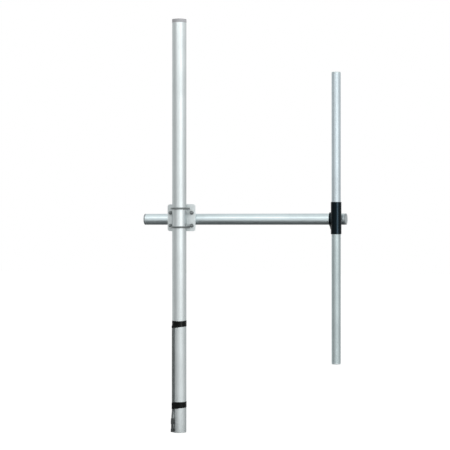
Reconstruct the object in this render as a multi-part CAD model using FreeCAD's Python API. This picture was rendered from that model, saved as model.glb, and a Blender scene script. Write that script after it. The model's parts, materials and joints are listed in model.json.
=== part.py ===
import FreeCAD, Part
import math
import os

Vector = FreeCAD.Vector
os.makedirs("parts", exist_ok=True)

# VHF base station antenna: a vertical half-wave dipole carried on a horizontal boom,
# which is clamped across a round mast section. All sizes are in millimetres.
# The origin is the centre of the mast's foot, +Z runs up the mast, +X points to the dipole
# and -Y is the front, where the mast and the dipole stand before the boom.

# Mast section
mast_od = 45.0
mast_wall = 2.5
mast_length = 1308.0
socket_bore = 41.0
socket_depth = 120.0

# Boom
boom_od = 35.0
boom_wall = 2.0
boom_height = 677.0
boom_tail = 124.0
boom_nose = 21.0

# Dipole
element_spacing = 505.0
element_od = 28.0
element_wall = 1.5
dipole_length = 896.0
feed_gap = 32.0
feed_rise = 3.0

# Push-in end caps of all tubes
cap_flange = 5.0
cap_rim_radius = 1.0
cap_depth = 15.0
cap_wall = 2.0
cap_rib_height = 0.6
cap_rib_width = 1.5
cap_rib_pitch = 4.0
cap_rib_count = 3

# Cross plate and its U-bolts
plate_width = 92.0
plate_height = 86.0
plate_rise = 5.0
plate_thickness = 5.0
plate_corner_radius = 8.0
plate_edge_round = 0.8
rod_diameter = 6.0
upper_bolt_rise = 34.0
lower_bolt_drop = 25.5
boom_bolt_offset = 35.0
rod_reach = 4.0
rod_chamfer = 0.6
washer_diameter = 12.0
washer_thickness = 1.6
split_washer_diameter = 10.6
split_washer_thickness = 1.6
split_washer_slit = 1.2
nut_across_flats = 10.0
nut_height = 5.0
nut_chamfer = 0.7

# Feed housing and the cap that closes its saddle round the boom
housing_od = 33.0
housing_length = 100.0
housing_rim_radius = 1.2
saddle_web = 2.5
saddle_inboard = 27.0
saddle_outboard = 3.5
saddle_ear = 21.5
saddle_half_height = 37.0
saddle_shoulder = 19.0
saddle_taper = 5.5
saddle_split = 1.0
saddle_wall = 4.0
saddle_rib_width = 24.0
saddle_rib_inboard = 3.0
saddle_flange = 8.0
saddle_edge_round = 1.5
saddle_screw_far = 16.5
saddle_screw_near = 1.5
saddle_screw_height = 27.5
saddle_screw_diameter = 5.0
saddle_screw_head = 8.5
saddle_screw_head_height = 5.0
saddle_screw_round = 0.8
saddle_screw_key = 4.0
saddle_screw_key_depth = 2.5
insert_diameter = 7.5
insert_length = 7.0

# Feed point inside the housing
element_screw_diameter = 4.0
element_screw_head = 7.5
element_screw_head_height = 2.8
element_screw_height = 44.0
element_screw_spare = 1.5
element_nut_across_flats = 7.0
element_nut_height = 3.2
element_nut_chamfer = 0.4
tag_width = 8.0
tag_thickness = 1.0
tag_top = 48.0
tag_foot = 6.0
core_lead_diameter = 1.5
braid_lead_diameter = 2.4
lead_bend = 2.0
lead_length = 12.0
lead_split = 1.3

# Feeder cable, its grommet from boom to mast, its slot in the mast and its plug at the mast's foot
cable_diameter = 6.0
cable_gap = 0.5
cable_bearing = 36.0
cable_inside = 13.0
grommet_hole = 10.0
grommet_bore = 8.0
grommet_lip = 13.0
grommet_lip_depth = 1.2
slot_height = 20.0
slot_drop = 0.8
plug_nut_diameter = 10.0
plug_nut_length = 10.0
plug_nut_flutes = 18
plug_flute_depth = 0.4
plug_body_diameter = 7.8
plug_body_length = 24.0
plug_boot_diameter = 9.4
plug_boot_length = 18.0
plug_pin_diameter = 1.6
plug_wall = 1.2
plug_foot = 3.0

# Turns of tape that hold the feeder on the mast
tape_thickness = 0.9
tape_height = 22.5
tape_slant = 4.5
upper_tape_height = 344.0
lower_tape_height = 87.0

# Clearances
seat_gap = 0.05
plug_gap = 0.1
bolt_gap = 0.3
thread_gap = 0.05

# Places and radii that follow from the sizes above
X_AXIS = Vector(1, 0, 0)
Y_AXIS = Vector(0, 1, 0)
Z_AXIS = Vector(0, 0, 1)
mast_r = mast_od / 2
mast_bore_r = mast_r - mast_wall
boom_r = boom_od / 2
boom_bore_r = boom_r - boom_wall
element_r = element_od / 2
element_bore_r = element_r - element_wall
rod_r = rod_diameter / 2
cable_r = cable_diameter / 2
housing_r = housing_od / 2
plate_front = mast_r + seat_gap
plate_back = plate_front + plate_thickness
boom_y = plate_back + seat_gap + boom_r
element_y = boom_y - boom_r - saddle_web - housing_r
boom_axis = Vector(0, boom_y, boom_height)
feed_height = boom_height + feed_rise
feed_point = Vector(element_spacing, element_y, feed_height)
cable_way_r = cable_r + cable_gap
bolt_stack = washer_thickness + split_washer_thickness + nut_height


def placed(shape, base, axis):
    """A shape built along +Z from the origin, moved to a base and turned to an axis."""
    turned = shape.copy()
    turned.Placement = FreeCAD.Placement(base, FreeCAD.Rotation(Z_AXIS, axis))
    return turned


def tube(outer_r, inner_r, length, base, axis):
    outer = Part.makeCylinder(outer_r, length, base, axis)
    return outer.cut(Part.makeCylinder(inner_r, length, base, axis))


def box_at(low, high):
    size = high - low
    return Part.makeBox(size.x, size.y, size.z, low)


def edges_at_height(shape, height):
    """The edges that lie wholly in the level plane at a height."""
    return [
        edge
        for edge in shape.Edges
        if all(abs(vertex.Z - height) < 1e-6 for vertex in edge.Vertexes)
    ]


def push_in_cap(outer_r, bore_r, base, axis):
    """A moulded plug: rounded flange on the tube's end, hollow skirt with grip ribs inside it."""
    flange = Part.makeCylinder(outer_r, cap_flange)
    flange = flange.makeFillet(cap_rim_radius, edges_at_height(flange, cap_flange))
    rib_r = bore_r - plug_gap
    skirt_r = rib_r - cap_rib_height
    cap = flange.fuse(Part.makeCylinder(skirt_r, cap_depth, Vector(0, 0, -cap_depth)))
    for rib in range(cap_rib_count):
        foot = Vector(0, 0, -(rib + 1) * cap_rib_pitch)
        cap = cap.fuse(Part.makeCylinder(rib_r, cap_rib_width, foot))
    hollow = Part.makeCylinder(skirt_r - cap_wall, cap_depth, Vector(0, 0, -cap_depth))
    return placed(cap.cut(hollow), base, axis)


def hex_prism(across_flats, height):
    corner_r = across_flats / math.sqrt(3)
    corners = [
        Vector(corner_r * math.cos(math.radians(60 * n)), corner_r * math.sin(math.radians(60 * n)), 0)
        for n in range(7)
    ]
    return Part.Face(Part.makePolygon(corners)).extrude(Vector(0, 0, height))


def hex_nut(across_flats, height, hole_r, chamfer):
    """A hexagon nut with its corners turned off at both ends."""
    turned = Part.makeCylinder(across_flats / math.sqrt(3), height)
    turned = turned.makeChamfer(chamfer, edges_at_height(turned, 0) + edges_at_height(turned, height))
    return hex_prism(across_flats, height).common(turned).cut(Part.makeCylinder(hole_r, height))


def split_washer():
    ring = tube(split_washer_diameter / 2, rod_r + bolt_gap, split_washer_thickness, Vector(), Z_AXIS)
    slit = box_at(
        Vector(0, -split_washer_slit / 2, 0),
        Vector(split_washer_diameter, split_washer_slit / 2, split_washer_thickness),
    )
    return ring.cut(slit)


def swept(edges, radius):
    """A round bar along a path of straight runs and tangent arcs."""
    path = Part.Wire(edges)
    start = path.OrderedVertexes[0].Point
    heading = edges[0].tangentAt(edges[0].FirstParameter)
    section = Part.Wire(Part.makeCircle(radius, start, heading))
    return path.makePipe(Part.Face(section))


def u_bolt(centre, side, leg, tube_r, leg_length):
    """A rod bent half round a tube, with two straight legs and chamfered ends."""
    bend_r = tube_r + seat_gap + rod_r
    left = centre - side * bend_r
    right = centre + side * bend_r
    crown = centre - leg * bend_r
    rod = swept(
        [
            Part.LineSegment(left + leg * leg_length, left).toShape(),
            Part.Arc(left, crown, right).toShape(),
            Part.LineSegment(right, right + leg * leg_length).toShape(),
        ],
        rod_r,
    )
    tip = (centre + leg * leg_length).dot(leg)
    ends = [e for e in rod.Edges if abs(e.CenterOfMass.dot(leg) - tip) < 1e-6 and e.Closed]
    return rod.makeChamfer(rod_chamfer, ends)


def bolted_stack(bases, axis):
    """The washers, split washers and nuts on rods that leave a plate at the bases along an axis."""
    washers = []
    split_washers = []
    nuts = []
    washer = tube(washer_diameter / 2, rod_r + bolt_gap, washer_thickness, Vector(), Z_AXIS)
    nut = hex_nut(nut_across_flats, nut_height, rod_r + thread_gap, nut_chamfer)
    for base in bases:
        washers.append(placed(washer, base, axis))
        split_base = base + axis * washer_thickness
        split_washers.append(placed(split_washer(), split_base, axis))
        nuts.append(placed(nut, split_base + axis * split_washer_thickness, axis))
    return Part.makeCompound(washers), Part.makeCompound(split_washers), Part.makeCompound(nuts)


def export(name, shape):
    shape.exportStep("parts/" + name + ".step")


def on_mast(bearing, distance, height):
    """A point at a bearing from the front, turning left, and a distance from the mast's axis."""
    angle = math.radians(bearing)
    return Vector(-distance * math.sin(angle), -distance * math.cos(angle), height)


# Ways of the feeder: from the boom through plate and mast, and out of the mast under the upper tape
grommet_way = Part.makeCylinder(grommet_hole / 2, boom_y, Vector(0, 0, boom_height), Y_AXIS)
slot_half = slot_height / 2 - cable_way_r
slot_middle = upper_tape_height - slot_drop
slot_out = on_mast(cable_bearing, 1, 0)
slot_side = on_mast(cable_bearing + 90, cable_way_r, 0)
slot_foot = Vector(0, 0, slot_middle - slot_half)
slot_head = Vector(0, 0, slot_middle + slot_half)
slot_corners = [slot_foot - slot_side, slot_foot + slot_side, slot_head + slot_side, slot_head - slot_side]
exit_slot = Part.Face(Part.makePolygon(slot_corners + slot_corners[:1])).extrude(slot_out * mast_od)
for slot_end in (slot_foot, slot_head):
    exit_slot = exit_slot.fuse(Part.makeCylinder(cable_way_r, mast_od, slot_end, slot_out))


# Mast section: an open tube whose foot is bored out to slip over a spigot
mast_tube = tube(mast_r, mast_bore_r, mast_length, Vector(), Z_AXIS)
mast_tube = mast_tube.cut(Part.makeCylinder(socket_bore / 2, socket_depth))
mast_tube = mast_tube.cut(grommet_way).cut(exit_slot)
export("mast_tube", mast_tube)
export("mast_cap", push_in_cap(mast_r, mast_bore_r, Vector(0, 0, mast_length), Z_AXIS))


# Cross plate between mast and boom, drilled for the legs of both pairs of U-bolts
mast_leg_x = mast_r + seat_gap + rod_r
boom_leg_z = boom_r + seat_gap + rod_r
mast_bolt_heights = [boom_height + upper_bolt_rise, boom_height - lower_bolt_drop]
mast_holes = [(side * mast_leg_x, height) for height in mast_bolt_heights for side in (-1, 1)]
boom_holes = [
    (side * boom_bolt_offset, boom_height + rise * boom_leg_z) for side in (-1, 1) for rise in (-1, 1)
]
plate_centre = boom_height + plate_rise
cross_plate = box_at(
    Vector(-plate_width / 2, plate_front, plate_centre - plate_height / 2),
    Vector(plate_width / 2, plate_back, plate_centre + plate_height / 2),
)
corner_edges = [edge for edge in cross_plate.Edges if abs(edge.BoundBox.YLength - plate_thickness) < 1e-6]
cross_plate = cross_plate.makeFillet(plate_corner_radius, corner_edges)
rim_edges = [edge for edge in cross_plate.Edges if edge.BoundBox.YLength < 1e-6]
cross_plate = cross_plate.makeFillet(plate_edge_round, rim_edges)
for hole_x, hole_z in mast_holes + boom_holes:
    hole = Part.makeCylinder(
        rod_r + bolt_gap, plate_thickness, Vector(hole_x, plate_front, hole_z), Y_AXIS
    )
    cross_plate = cross_plate.cut(hole)
export("cross_plate", cross_plate.cut(grommet_way))


# U-bolts round the mast, with their nuts behind the plate
mast_leg_length = plate_back + bolt_stack + rod_reach
for name, height in zip(("upper_mast_u_bolt", "lower_mast_u_bolt"), mast_bolt_heights):
    export(name, u_bolt(Vector(0, 0, height), X_AXIS, Y_AXIS, mast_r, mast_leg_length))
mast_stack = bolted_stack([Vector(x, plate_back, z) for x, z in mast_holes], Y_AXIS)
export("mast_clamp_washers", mast_stack[0])
export("mast_clamp_split_washers", mast_stack[1])
export("mast_clamp_nuts", mast_stack[2])


# U-bolts round the boom, with their nuts in front of the plate
boom_leg_length = boom_y - plate_front + bolt_stack + rod_reach
for name, side in (("inner_boom_u_bolt", 1), ("outer_boom_u_bolt", -1)):
    bend_centre = boom_axis + X_AXIS * (side * boom_bolt_offset)
    export(name, u_bolt(bend_centre, Z_AXIS, -Y_AXIS, boom_r, boom_leg_length))
boom_stack = bolted_stack([Vector(x, plate_front, z) for x, z in boom_holes], -Y_AXIS)
export("boom_clamp_washers", boom_stack[0])
export("boom_clamp_split_washers", boom_stack[1])
export("boom_clamp_nuts", boom_stack[2])


# Boom, with a hole to the feed housing and one to the mast in front
boom_end = element_spacing + boom_nose
boom_start = Vector(-boom_tail, boom_y, boom_height)
boom_tube = tube(boom_r, boom_bore_r, boom_tail + boom_end, boom_start, X_AXIS)
boom_tube = boom_tube.cut(Part.makeCylinder(cable_way_r, boom_y - element_y, feed_point, Y_AXIS))
export("boom_tube", boom_tube.cut(grommet_way))
export("boom_tail_cap", push_in_cap(boom_r, boom_bore_r, boom_start, -X_AXIS))
export("boom_nose_cap", push_in_cap(boom_r, boom_bore_r, Vector(boom_end, boom_y, boom_height), X_AXIS))


# Grommet: a neck through the walls of mast, plate and boom, with a lip inside either tube
lip_r = grommet_lip / 2
mast_lip = math.sqrt(mast_bore_r**2 - lip_r**2) - grommet_lip_depth
boom_lip = boom_y - math.sqrt(boom_bore_r**2 - lip_r**2) + grommet_lip_depth
mast_inside = Part.makeCylinder(mast_bore_r - seat_gap, mast_length)
boom_inside = Part.makeCylinder(boom_bore_r - seat_gap, boom_tail + boom_end, boom_start, X_AXIS)
grommet_start = Vector(0, mast_lip, boom_height)
cable_grommet = Part.makeCylinder(grommet_hole / 2 - plug_gap, boom_lip - mast_lip, grommet_start, Y_AXIS)
lip_bar = Part.makeCylinder(lip_r, boom_lip - mast_lip, grommet_start, Y_AXIS)
cable_grommet = cable_grommet.fuse(lip_bar.common(mast_inside)).fuse(lip_bar.common(boom_inside))
grommet_hollow = Part.makeCylinder(grommet_bore / 2, boom_lip - mast_lip, grommet_start, Y_AXIS)
export("cable_grommet", cable_grommet.cut(grommet_hollow))


# Dipole: two tubes that end short of each other inside the feed housing
element_length = (dipole_length - feed_gap) / 2
for name, rise in (("upper_element", 1), ("lower_element", -1)):
    root = feed_point + Z_AXIS * (rise * feed_gap / 2)
    element = tube(element_r, element_bore_r, element_length, root, Z_AXIS * rise)
    screw_line = feed_point + Z_AXIS * (rise * element_screw_height)
    screw_way = Part.makeCylinder(element_screw_diameter / 2 + bolt_gap, housing_r, screw_line, Y_AXIS)
    export(name, element.cut(screw_way))
    tip = root + Z_AXIS * (rise * element_length)
    export(name + "_cap", push_in_cap(element_r, element_bore_r, tip, Z_AXIS * rise))


# Flange outline of the saddle seen from the front: square ears above the boom, tapered ones below it
def saddle_outline(start_y, depth):
    """The saddle's outline about the feed point, as a block from one depth to another."""
    inner = element_spacing - saddle_inboard
    outer = element_spacing + saddle_outboard
    top = saddle_half_height
    corners = [
        (inner, -saddle_shoulder),
        (inner + saddle_taper, -top),
        (outer, -top),
        (outer, top),
        (element_spacing - saddle_ear, top),
        (element_spacing - saddle_ear, saddle_shoulder),
        (inner, saddle_shoulder),
    ]
    points = [Vector(x, start_y, boom_height + z) for x, z in corners]
    block = Part.Face(Part.makePolygon(points + points[:1])).extrude(Vector(0, depth, 0))
    rounded = [edge for edge in block.Edges if edge.BoundBox.YLength > depth - 1e-6]
    return block.makeFillet(saddle_edge_round, rounded)


# Each half of the saddle is a half-round collar on the boom with a flange at the split
split_front = boom_y - saddle_split / 2
split_back = boom_y + saddle_split / 2
saddle_length = saddle_inboard + saddle_outboard
saddle_start = Vector(element_spacing - saddle_inboard, boom_y, boom_height)
boom_seat = Part.makeCylinder(boom_r + seat_gap, boom_tail + boom_end, boom_start, X_AXIS)


def half_collar(start_y, end_y):
    """The part of the collar round the boom that lies between two depths."""
    collar = Part.makeCylinder(boom_r + saddle_wall, saddle_length, saddle_start, X_AXIS)
    slab = box_at(
        Vector(saddle_start.x, start_y, boom_height - boom_od),
        Vector(saddle_start.x + saddle_length, end_y, boom_height + boom_od),
    )
    return collar.common(slab)


# Feed housing: an upright sleeve for both element tubes, ribbed to the front half of the saddle
housing_foot = feed_point - Z_AXIS * (housing_length / 2)
sleeve = Part.makeCylinder(housing_r, housing_length, housing_foot)
for rim_height in (housing_foot.z, housing_foot.z + housing_length):
    sleeve = sleeve.makeFillet(housing_rim_radius, edges_at_height(sleeve, rim_height))
rib_middle = element_spacing - saddle_rib_inboard
rib = box_at(
    Vector(rib_middle - saddle_rib_width / 2, element_y, boom_height - saddle_half_height),
    Vector(rib_middle + saddle_rib_width / 2, split_front, boom_height + saddle_half_height),
)
feed_housing = sleeve.fuse(rib)
feed_housing = feed_housing.fuse(half_collar(boom_y - boom_od, split_front))
feed_housing = feed_housing.fuse(saddle_outline(split_front - saddle_flange, saddle_flange))
feed_housing = feed_housing.cut(boom_seat)
feed_housing = feed_housing.cut(Part.makeCylinder(element_bore_r, housing_length, housing_foot))
for rise in (1, -1):
    socket_floor = feed_point + Z_AXIS * (rise * feed_gap / 2)
    element_socket = Part.makeCylinder(element_r + plug_gap, housing_length, socket_floor, Z_AXIS * rise)
    screw_line = feed_point + Z_AXIS * (rise * element_screw_height)
    screw_way = Part.makeCylinder(element_screw_diameter / 2 + bolt_gap, housing_od, screw_line, Y_AXIS)
    feed_housing = feed_housing.cut(element_socket).cut(screw_way)
feed_housing = feed_housing.cut(Part.makeCylinder(cable_way_r, boom_y - element_y, feed_point, Y_AXIS))
saddle_screw_spots = [
    (element_spacing - inboard, boom_height + rise * saddle_screw_height)
    for inboard in (saddle_screw_far, saddle_screw_near)
    for rise in (-1, 1)
]
for spot_x, spot_z in saddle_screw_spots:
    mouth = Vector(spot_x, split_front, spot_z)
    feed_housing = feed_housing.cut(
        Part.makeCylinder(insert_diameter / 2 + seat_gap, insert_length, mouth, -Y_AXIS)
    )
export("feed_housing", feed_housing)


# Saddle cap: the rear half of the saddle, drawn against the housing by four screws
flange_back = split_back + saddle_flange
saddle_cap = saddle_outline(split_back, saddle_flange)
saddle_cap = saddle_cap.fuse(half_collar(split_back, boom_y + boom_od)).cut(boom_seat)
for spot_x, spot_z in saddle_screw_spots:
    hole = Part.makeCylinder(
        saddle_screw_diameter / 2 + bolt_gap, saddle_flange, Vector(spot_x, split_back, spot_z), Y_AXIS
    )
    saddle_cap = saddle_cap.cut(hole)
export("saddle_cap", saddle_cap)


# Cap screws of the saddle and the threaded inserts that they bite into
def cap_screw(shank_length):
    """A round-headed socket screw along +Z, its head's underside at the origin."""
    crown = Vector(0, 0, -saddle_screw_head_height)
    head = Part.makeCylinder(saddle_screw_head / 2, saddle_screw_head_height, crown)
    head = head.makeFillet(saddle_screw_round, edges_at_height(head, crown.z))
    key = placed(hex_prism(saddle_screw_key, saddle_screw_key_depth), crown, Z_AXIS)
    return head.cut(key).fuse(Part.makeCylinder(saddle_screw_diameter / 2, shank_length))


shank_length = saddle_flange + saddle_split + insert_length - thread_gap
insert = tube(
    insert_diameter / 2, saddle_screw_diameter / 2 + thread_gap, insert_length, Vector(), Z_AXIS
)
saddle_screws = [
    placed(cap_screw(shank_length), Vector(x, flange_back, z), -Y_AXIS) for x, z in saddle_screw_spots
]
saddle_inserts = [placed(insert, Vector(x, split_front, z), -Y_AXIS) for x, z in saddle_screw_spots]
export("saddle_screws", Part.makeCompound(saddle_screws))
export("saddle_inserts", Part.makeCompound(saddle_inserts))


# Feed terminals: a tag inside each element, held by the screw that pins the element in the housing
tag_back = element_y + math.sqrt(element_bore_r**2 - (tag_width / 2) ** 2) - seat_gap
tag_front = tag_back - tag_thickness
element_screws = []
element_nuts = []
for name, rise in (("upper_feed_tag", 1), ("lower_feed_tag", -1)):
    screw_line = feed_point + Z_AXIS * (rise * element_screw_height)
    lowest, highest = sorted((rise * tag_foot, rise * tag_top))
    tag = box_at(
        Vector(element_spacing - tag_width / 2, tag_front, feed_height + lowest),
        Vector(element_spacing + tag_width / 2, tag_back, feed_height + highest),
    )
    tag_hole = Part.makeCylinder(element_screw_diameter / 2 + thread_gap, housing_r, screw_line, Y_AXIS)
    export(name, tag.cut(tag_hole))
    nut_face = Vector(element_spacing, tag_front, screw_line.z)
    nut_hole_r = element_screw_diameter / 2 + thread_gap
    nut = hex_nut(element_nut_across_flats, element_nut_height, nut_hole_r, element_nut_chamfer)
    element_nuts.append(placed(nut, nut_face, -Y_AXIS))
    head_face = Vector(element_spacing, element_y + housing_r, screw_line.z)
    screw_reach = head_face.y - tag_front + element_nut_height + element_screw_spare
    head = Part.makeCylinder(element_screw_head / 2, element_screw_head_height)
    head = head.makeFillet(element_screw_head_height / 2, edges_at_height(head, element_screw_head_height))
    shank = Part.makeCylinder(element_screw_diameter / 2, screw_reach, Vector(0, 0, -screw_reach))
    element_screws.append(placed(head.fuse(shank), head_face, Y_AXIS))
export("element_screws", Part.makeCompound(element_screws))
export("element_nuts", Part.makeCompound(element_nuts))


# Leads from the end of the feeder to the two tags
cable_start = Vector(element_spacing, element_y + element_bore_r + seat_gap, feed_height)


def feed_lead(diameter, rise):
    """A short wire from the feeder's end that bends up or down and lies against its tag."""
    lead_y = tag_front - seat_gap - diameter / 2
    start = cable_start + Z_AXIS * (rise * lead_split)
    bend_foot = Vector(start.x, lead_y + lead_bend, start.z)
    bend_top = Vector(start.x, lead_y, start.z + rise * lead_bend)
    turn = math.sqrt(0.5) * lead_bend
    bend_middle = Vector(start.x, lead_y + lead_bend - turn, start.z + rise * (lead_bend - turn))
    return swept(
        [
            Part.LineSegment(start, bend_foot).toShape(),
            Part.Arc(bend_foot, bend_middle, bend_top).toShape(),
            Part.LineSegment(bend_top, bend_top + Z_AXIS * (rise * lead_length)).toShape(),
        ],
        diameter / 2,
    )


export("core_lead", feed_lead(core_lead_diameter, 1))
export("braid_lead", feed_lead(braid_lead_diameter, -1))


# Route of the feeder: inside boom and mast, out through the slot and down the mast's left front
cable_lie = mast_r + cable_gap + cable_r
plug_lie = mast_r + cable_gap + plug_nut_diameter / 2
plug_top = plug_foot + plug_nut_length + plug_body_length
cable_route = [
    cable_start,
    Vector(element_spacing, boom_y + boom_bore_r - cable_diameter, feed_height),
    Vector(250.0, boom_y, boom_height - boom_bore_r + cable_r + plug_gap),
    Vector(0, boom_y + boom_bore_r - cable_r - 3 * plug_gap, boom_height),
    Vector(0, -mast_bore_r / 2, boom_height),
    on_mast(cable_bearing, cable_inside, upper_tape_height + 12.5),
    on_mast(cable_bearing, cable_lie, upper_tape_height - 5.5),
    on_mast(cable_bearing, cable_lie, plug_top + 32.0),
    on_mast(cable_bearing, plug_lie, plug_top + 17.0),
    on_mast(cable_bearing, plug_lie, plug_top - 8.0),
]


def rounded_route(points, inner_share, end_share):
    """Straight runs through points, each corner rounded by an arc as large as its two runs allow."""
    edges = []
    radii = []
    start = points[0]
    last = len(points) - 2
    for n in range(1, len(points) - 1):
        before = points[n] - points[n - 1]
        after = points[n + 1] - points[n]
        half_turn = before.getAngle(after) / 2
        room = min(
            before.Length * (end_share if n == 1 else inner_share),
            after.Length * (end_share if n == last else inner_share),
        )
        before.normalize()
        after.normalize()
        enter = points[n] - before * room
        leave = points[n] + after * room
        radius = room / math.tan(half_turn)
        inward = after - before
        inward.normalize()
        crest = points[n] + inward * (radius / math.cos(half_turn) - radius)
        edges.append(Part.LineSegment(start, enter).toShape())
        edges.append(Part.Arc(enter, crest, leave).toShape())
        radii.append(round(radius, 1))
        start = leave
    edges.append(Part.LineSegment(start, points[-1]).toShape())
    return edges, radii


cable_edges, cable_radii = rounded_route(cable_route, inner_share=0.45, end_share=0.75)
feeder_cable = swept(cable_edges, cable_r)
cable_length = sum(edge.Length for edge in cable_edges)
section_by_length = math.pi * cable_r**2 * cable_length
print("feeder length", round(cable_length, 1), "radii", cable_radii)
print("feeder volume", round(feeder_cable.Volume, 1), "section x length", round(section_by_length, 1))
export("feeder_cable", feeder_cable)


# Plug on the feeder's end, on one upright axis: coupling nut, body, centre pin and boot
plug_axis = on_mast(cable_bearing, plug_lie, 0)
plug_body_r = plug_body_diameter / 2
spigot_r = plug_body_r - plug_wall
nut_top = plug_foot + plug_nut_length
cable_end_height = cable_route[-1].z


def on_plug(radius, low, high):
    """A round bar on the plug's axis between two heights."""
    return Part.makeCylinder(radius, high - low, plug_axis + Z_AXIS * low)


plug_nut = on_plug(plug_nut_diameter / 2, plug_foot, nut_top)
for flute in range(plug_nut_flutes):
    turn = 2 * math.pi * flute / plug_nut_flutes
    groove = plug_axis + Vector(math.cos(turn), math.sin(turn), 0) * (plug_nut_diameter / 2)
    groove = groove + Z_AXIS * plug_foot
    plug_nut = plug_nut.cut(Part.makeCylinder(plug_flute_depth, plug_nut_length, groove))
plug_nut = plug_nut.cut(on_plug(plug_body_r, plug_foot, nut_top - plug_wall))
plug_nut = plug_nut.cut(on_plug(spigot_r + plug_gap, plug_foot, nut_top))
export("plug_nut", plug_nut)

retainer_top = nut_top - plug_wall - plug_gap
plug_body = on_plug(plug_body_r, nut_top + plug_gap, plug_top)
plug_body = plug_body.fuse(on_plug(spigot_r, nut_top - plug_nut_length / 2, nut_top + plug_wall))
plug_body = plug_body.fuse(on_plug(plug_body_r - plug_gap, retainer_top - plug_wall, retainer_top))
plug_body = plug_body.cut(on_plug(cable_r + seat_gap, cable_end_height, plug_top))
plug_body = plug_body.cut(on_plug(plug_pin_diameter / 2 + seat_gap, plug_foot, cable_end_height))
export("plug_body", plug_body)

plug_pin = on_plug(plug_pin_diameter / 2, plug_foot, cable_end_height)
plug_pin = plug_pin.makeFillet(plug_pin_diameter / 4, edges_at_height(plug_pin, plug_foot))
export("plug_pin", plug_pin)

boot_lap = plug_boot_length / 2
boot_tail = Part.makeCone(
    plug_boot_diameter / 2, cable_r + plug_wall, plug_boot_length - boot_lap, plug_axis + Z_AXIS * plug_top
)
plug_boot = on_plug(plug_boot_diameter / 2, plug_top - boot_lap, plug_top).fuse(boot_tail)
plug_boot = plug_boot.cut(on_plug(plug_body_r + seat_gap, plug_top - boot_lap, plug_top))
plug_boot = plug_boot.cut(on_plug(cable_r + seat_gap, plug_top, plug_top + plug_boot_length))
export("plug_boot", plug_boot)


# Tape round mast and feeder: two arcs joined by straight stretches, cut on the slant below
def strapped_outline(growth, height):
    """The outline of mast and feeder together, grown outwards, as a closed wire."""
    angle = math.radians(cable_bearing)
    outwards = Vector(-math.sin(angle), -math.cos(angle), 0)
    sideways = Vector(outwards.y, -outwards.x, 0)
    big_r = mast_r + seat_gap + growth
    small_r = cable_r + seat_gap + growth
    lean = (big_r - small_r) / cable_lie
    away = math.sqrt(1 - lean**2)
    level = Vector(0, 0, height)
    small_centre = outwards * cable_lie + level
    normals = [outwards * lean + sideways * (side * away) for side in (1, -1)]
    big_left, big_right = (level + normal * big_r for normal in normals)
    small_left, small_right = (small_centre + normal * small_r for normal in normals)
    return Part.Wire(
        [
            Part.Arc(big_left, level - outwards * big_r, big_right).toShape(),
            Part.LineSegment(big_right, small_right).toShape(),
            Part.Arc(small_right, small_centre + outwards * small_r, small_left).toShape(),
            Part.LineSegment(small_left, big_left).toShape(),
        ]
    )


def tape_band(middle):
    """Turns of tape pressed round mast and feeder, narrower on the right than on the left."""
    foot = middle - tape_height / 2
    outer = Part.Face(strapped_outline(tape_thickness, foot)).extrude(Z_AXIS * tape_height)
    band = outer.cut(Part.Face(strapped_outline(0, foot)).extrude(Z_AXIS * tape_height))
    low_corner = Vector(-mast_r, -mast_od, foot)
    run = mast_r + mast_od
    along = X_AXIS * run
    climb = Z_AXIS * (tape_slant * run / mast_od)
    slant = Part.makePolygon([low_corner, low_corner + along, low_corner + along + climb, low_corner])
    return band.cut(Part.Face(slant).extrude(Y_AXIS * (2 * mast_od)))


export("upper_tape", tape_band(upper_tape_height))
export("lower_tape", tape_band(lower_tape_height))
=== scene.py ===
import functools
import json
import math

import bmesh
import bpy
import numpy as np
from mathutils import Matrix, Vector


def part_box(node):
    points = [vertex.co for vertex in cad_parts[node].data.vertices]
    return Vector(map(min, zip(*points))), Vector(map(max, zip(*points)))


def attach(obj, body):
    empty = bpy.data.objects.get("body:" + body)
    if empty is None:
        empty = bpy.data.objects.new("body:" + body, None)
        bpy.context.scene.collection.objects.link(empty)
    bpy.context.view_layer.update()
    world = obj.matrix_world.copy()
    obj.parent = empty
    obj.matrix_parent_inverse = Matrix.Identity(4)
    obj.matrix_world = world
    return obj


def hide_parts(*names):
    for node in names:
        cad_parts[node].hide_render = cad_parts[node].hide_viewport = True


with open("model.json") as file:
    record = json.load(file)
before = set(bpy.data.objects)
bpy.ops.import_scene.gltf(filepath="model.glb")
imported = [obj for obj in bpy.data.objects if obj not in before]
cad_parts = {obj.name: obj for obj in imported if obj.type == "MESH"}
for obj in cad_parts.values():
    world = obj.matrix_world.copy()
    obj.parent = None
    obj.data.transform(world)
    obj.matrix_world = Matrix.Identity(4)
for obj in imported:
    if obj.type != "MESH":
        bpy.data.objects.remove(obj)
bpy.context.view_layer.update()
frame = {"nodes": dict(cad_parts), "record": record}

bl_info = {
    "name": "Base Station Antenna",
    "version": (1, 0, 0),
    "blender": (4, 5, 0),
    "location": "View3D > Sidebar > Antenna",
    "description": "Adds threads, fasteners, tape, finishes and a studio to the packed antenna",
    "category": "Object",
}

NODES = frame["nodes"]
SLOT_OF = {part["node"]: part["material_slot"] for part in frame["record"]["subparts"]}
BODY = "root"
MM = 0.001
X, Y, Z = np.eye(3)
FULL_TURN = 2 * math.pi
QUARTER_TURN = math.pi / 2


# Sizes and colours that a user would change
def colour_setting(name, description, default):
    """A colour as a property."""
    return bpy.props.FloatVectorProperty(
        name=name, description=description, subtype="COLOR", default=default
    )


def length_setting(name, description, default):
    """A length in metres as a property."""
    return bpy.props.FloatProperty(name=name, description=description, unit="LENGTH", default=default)


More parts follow.
